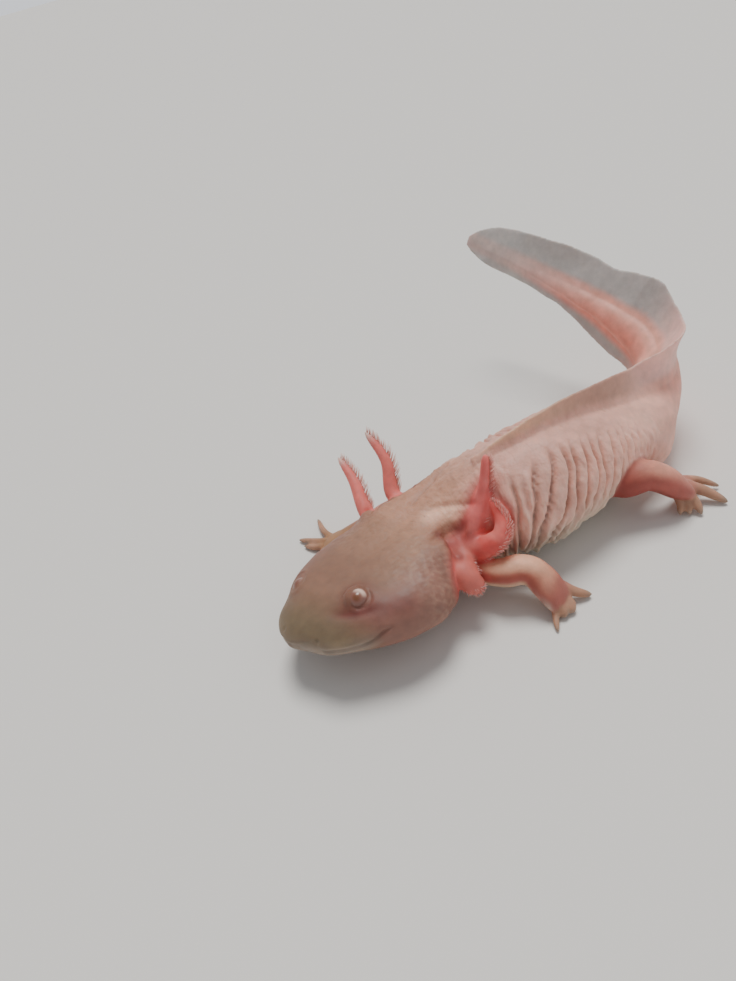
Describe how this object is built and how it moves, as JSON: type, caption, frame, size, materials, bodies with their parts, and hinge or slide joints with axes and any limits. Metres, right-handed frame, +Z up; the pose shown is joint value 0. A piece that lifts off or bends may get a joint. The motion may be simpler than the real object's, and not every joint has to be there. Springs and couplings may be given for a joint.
{
  "type": "axolotl model",
  "caption": "Life-size model of a pale pink axolotl resting on its belly, with its head turned aside, feathery gills raised and the finned tail curled round and lifted.",
  "frame": {"origin": "middle of the space the animal takes up, seen from above, on the floor it lies on", "axes": "+Z up from the floor; -X towards the end where the head is, +X towards the hips; -Y the animal's left side, +Y its right"},
  "size_m": [0.1326, 0.143, 0.0484],
  "materials": {
    "skin": "moist, satin, finely grained skin",
    "fin": "thin, wet, half translucent skin",
    "gill": "wet, soft, blood-red to pink",
    "eye": "clear and wet over a pale iris"
  },
  "bodies": {
    "root": {"head": "skin", "lower_jaw": "skin", "neck": "skin", "trunk_front": "skin", "trunk_middle": "skin", "trunk_rear": "skin", "tail_base": "skin", "tail_middle": "skin", "tail_tip": "skin", "foreleg_left_upper_arm": "skin", "foreleg_left_forearm": "skin", "foreleg_left_hand": "skin", "hindleg_left_thigh": "skin", "hindleg_left_shank": "skin", "hindleg_left_foot": "skin", "foreleg_right_upper_arm": "skin", "foreleg_right_forearm": "skin", "foreleg_right_hand": "skin", "hindleg_right_thigh": "skin", "hindleg_right_shank": "skin", "hindleg_right_foot": "skin", "fin_upper_trunk": "fin", "fin_upper_tail_base": "fin", "fin_lower_tail_base": "fin", "fin_upper_tail_middle": "fin", "fin_lower_tail_middle": "fin", "fin_upper_tail_tip": "fin", "fin_lower_tail_tip": "fin", "gill_left_upper": "gill", "gill_left_middle": "gill", "gill_left_lower": "gill", "gill_right_upper": "gill", "gill_right_middle": "gill", "gill_right_lower": "gill", "eye_left": "eye", "eye_right": "eye"}
  },
  "joints": []
}
